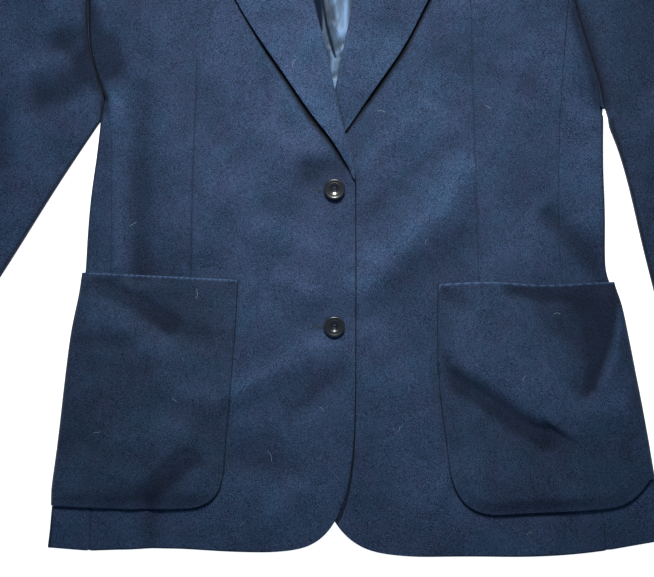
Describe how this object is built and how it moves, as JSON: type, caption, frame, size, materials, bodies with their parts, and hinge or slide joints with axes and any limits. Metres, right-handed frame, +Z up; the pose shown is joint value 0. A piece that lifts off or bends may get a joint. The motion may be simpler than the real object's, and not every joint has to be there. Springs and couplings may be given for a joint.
{
  "type": "blazer",
  "caption": "Hip-length tailored wool jacket laid flat and buttoned, with notched lapels, large patch pockets that wrap round its sides, and long sleeves.",
  "frame": {"origin": "middle of the footprint, on the surface that the jacket lies on", "axes": "+X towards the wearer's left sleeve, +Y from the hem to the collar, +Z up, out of the front of the jacket"},
  "size_m": [1.053, 0.72, 0.0156],
  "materials": {
    "wool": "navy melange wool with a soft nap",
    "satin": "light steel-blue satin lining",
    "resin": "polished dark brown resin"
  },
  "bodies": {
    "root": {"back_right": "wool", "back_left": "wool", "side_right": "wool", "side_left": "wool", "front_right": "wool", "front_left": "wool", "lapel_right": "wool", "lapel_left": "wool", "collar": "wool", "pocket_right": "wool", "pocket_left": "wool", "sleeve_upper_right": "wool", "sleeve_upper_left": "wool", "sleeve_under_right": "wool", "sleeve_under_left": "wool", "lining_back": "satin", "button_upper": "resin", "button_lower": "resin"}
  },
  "joints": []
}
